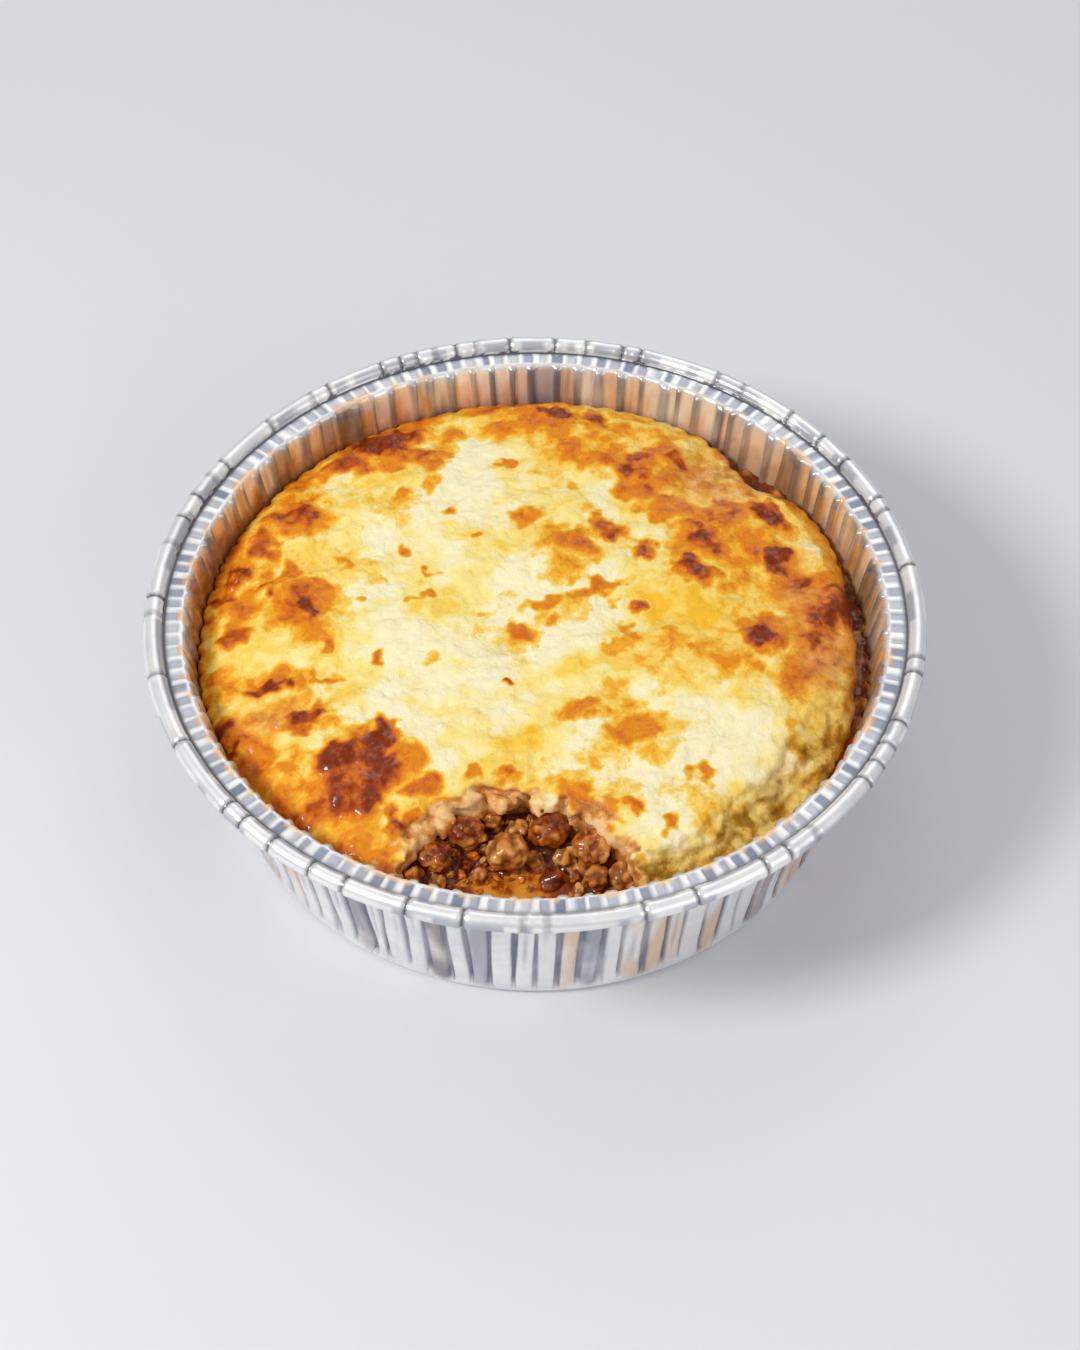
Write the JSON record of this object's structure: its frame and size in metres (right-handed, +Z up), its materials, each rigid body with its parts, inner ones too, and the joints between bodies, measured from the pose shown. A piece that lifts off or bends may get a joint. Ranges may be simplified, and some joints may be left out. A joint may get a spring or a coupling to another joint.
{
  "type": "shepherd's pie in a round foil dish",
  "caption": "Round pleated foil dish filled with minced meat in gravy under browned mashed potato, with one helping scooped out at the edge.",
  "frame": {"origin": "middle of the dish's flat base, on the surface that it stands on", "axes": "+Z up; -Y towards the side where the helping was scooped out"},
  "size_m": [0.18, 0.18, 0.0512],
  "materials": {
    "foil": "bright crinkled foil",
    "minced_meat": null,
    "browned_mash": null,
    "mince_lumps": null
  },
  "bodies": {
    "root": {"foil_dish": "foil", "mince_filling": "minced_meat", "potato_topping": "browned_mash", "mince_lump_1": "mince_lumps", "mince_lump_2": "mince_lumps", "mince_lump_3": "mince_lumps", "mince_lump_4": "mince_lumps", "mince_lump_5": "mince_lumps"}
  },
  "joints": []
}
